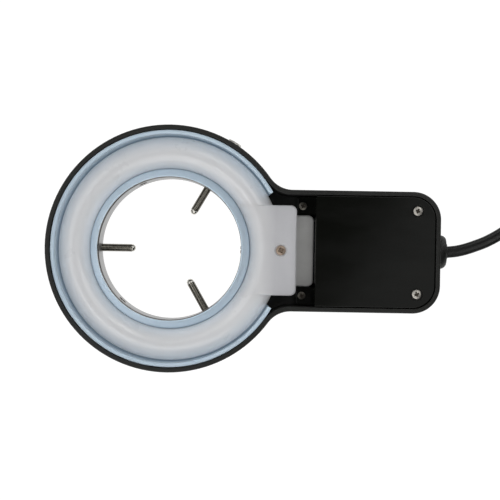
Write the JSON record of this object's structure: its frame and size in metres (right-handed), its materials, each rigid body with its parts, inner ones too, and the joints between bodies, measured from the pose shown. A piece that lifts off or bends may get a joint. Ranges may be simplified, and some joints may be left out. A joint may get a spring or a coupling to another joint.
{
  "type": "microscope ring light",
  "caption": "Fluorescent ring illuminator for a stereo microscope: round lamp head with clamp collar and radial thumbscrews, ballast handle, switch and mains cord.",
  "frame": {"origin": "middle of the footprint of the lamp head without its cord, on the surface that its back lies on", "axes": "+X from the ring towards the handle's cord end, +Z out of the lighting side, +Y across"},
  "size_m": [0.2816, 0.1072, 0.032],
  "materials": {
    "housing_black": "fine satin",
    "cover_black": "glossy, moulded smooth",
    "reflector_white": "glossy pale blue white",
    "lamp_glass": "milky phosphor coated glass, opaque",
    "lamp_plastic": "milky moulded plastic",
    "socket_plastic": "matt grey white",
    "brass": "dull",
    "bright_steel": "nickel plated",
    "dark_steel": "blackened, worn",
    "collar_metal": "satin turned",
    "nylon": "natural",
    "circuit_board": "solder resist",
    "ferrite": "matt",
    "copper": "enamelled copper wire",
    "component_black": "moulded",
    "component_blue": "dipped",
    "cord_black": "satin",
    "moulded_black": "satin moulded"
  },
  "bodies": {
    "lamp_head": {"housing": "housing_black", "switch_body": "housing_black", "ballast_cover": "cover_black", "reflector": "reflector_white", "lamp_tube": "lamp_glass", "lamp_base": "lamp_plastic", "lamp_socket": "socket_plastic", "lamp_pin_1": "brass", "lamp_pin_2": "brass", "lamp_pin_3": "brass", "lamp_pin_4": "brass", "lamp_screw": "brass", "plug_blade_1": "brass", "plug_blade_2": "brass", "cover_screw_1": "bright_steel", "cover_screw_2": "bright_steel", "rocker_pin": "bright_steel", "fuse": "bright_steel", "shelf_screw_1": "dark_steel", "shelf_screw_2": "dark_steel", "collar_screw_1": "dark_steel", "collar_screw_2": "dark_steel", "collar_screw_3": "dark_steel", "collar": "collar_metal", "lamp_lead_left": "nylon", "lamp_lead_right": "nylon", "cord_tie": "nylon", "ballast_board": "circuit_board", "choke_core": "ferrite", "choke_winding": "copper", "bulk_capacitor": "component_black", "transistor_1": "component_black", "transistor_2": "component_black", "film_capacitor_1": "component_blue", "film_capacitor_2": "component_blue", "mains_core_live": "cord_black", "mains_core_neutral": "cord_black", "switch_lead": "cord_black", "cord_lead": "cord_black", "cord_coil": "cord_black", "cord_tail": "cord_black", "strain_relief": "moulded_black", "plug_body": "moulded_black"},
    "switch_rocker": {"switch_rocker": "cover_black"},
    "thumbscrew_tip_1": {"thumbscrew_tip_1": "dark_steel"},
    "thumbscrew_1": {"thumbscrew_1": "dark_steel"},
    "thumbscrew_tip_2": {"thumbscrew_tip_2": "dark_steel"},
    "thumbscrew_2": {"thumbscrew_2": "dark_steel"},
    "thumbscrew_tip_3": {"thumbscrew_tip_3": "dark_steel"},
    "thumbscrew_3": {"thumbscrew_3": "dark_steel"}
  },
  "joints": [
    {"name": "thumbscrew_1_feed", "type": "slide", "parent": "lamp_head", "child": "thumbscrew_tip_1", "axis": [-1, 0, 0], "range_m": [-0.0075, 0.015]},
    {"name": "thumbscrew_1_turn", "type": "hinge", "parent": "thumbscrew_tip_1", "child": "thumbscrew_1", "pos_m": [-0.0552, 0, 0.0037], "axis": [-1, 0, 0], "range_deg": [-4500, 9000]},
    {"name": "thumbscrew_2_feed", "type": "slide", "parent": "lamp_head", "child": "thumbscrew_tip_2", "axis": [0.5, 0.866, 0], "range_m": [-0.0095, 0.013]},
    {"name": "thumbscrew_2_turn", "type": "hinge", "parent": "thumbscrew_tip_2", "child": "thumbscrew_2", "pos_m": [-0.0227, 0.01992, 0.0037], "axis": [0.5, 0.866, 0], "range_deg": [-5700, 7800]},
    {"name": "thumbscrew_3_feed", "type": "slide", "parent": "lamp_head", "child": "thumbscrew_tip_3", "axis": [0.5, -0.866, 0], "range_m": [-0.007, 0.0155]},
    {"name": "thumbscrew_3_turn", "type": "hinge", "parent": "thumbscrew_tip_3", "child": "thumbscrew_3", "pos_m": [-0.02385, -0.01793, 0.0037], "axis": [0.5, -0.866, 0], "range_deg": [-4200, 9300]},
    {"name": "switch_rocker_tilt", "type": "hinge", "parent": "lamp_head", "child": "switch_rocker", "pos_m": [0.0383, 0, 0.005], "axis": [1, 0, 0], "range_deg": [0, 20]}
  ],
  "couplings": [
    {"joint": "thumbscrew_1_turn", "follows": "thumbscrew_1_feed", "rad_per_m": 10472},
    {"joint": "thumbscrew_2_turn", "follows": "thumbscrew_2_feed", "rad_per_m": 10472},
    {"joint": "thumbscrew_3_turn", "follows": "thumbscrew_3_feed", "rad_per_m": 10472}
  ]
}
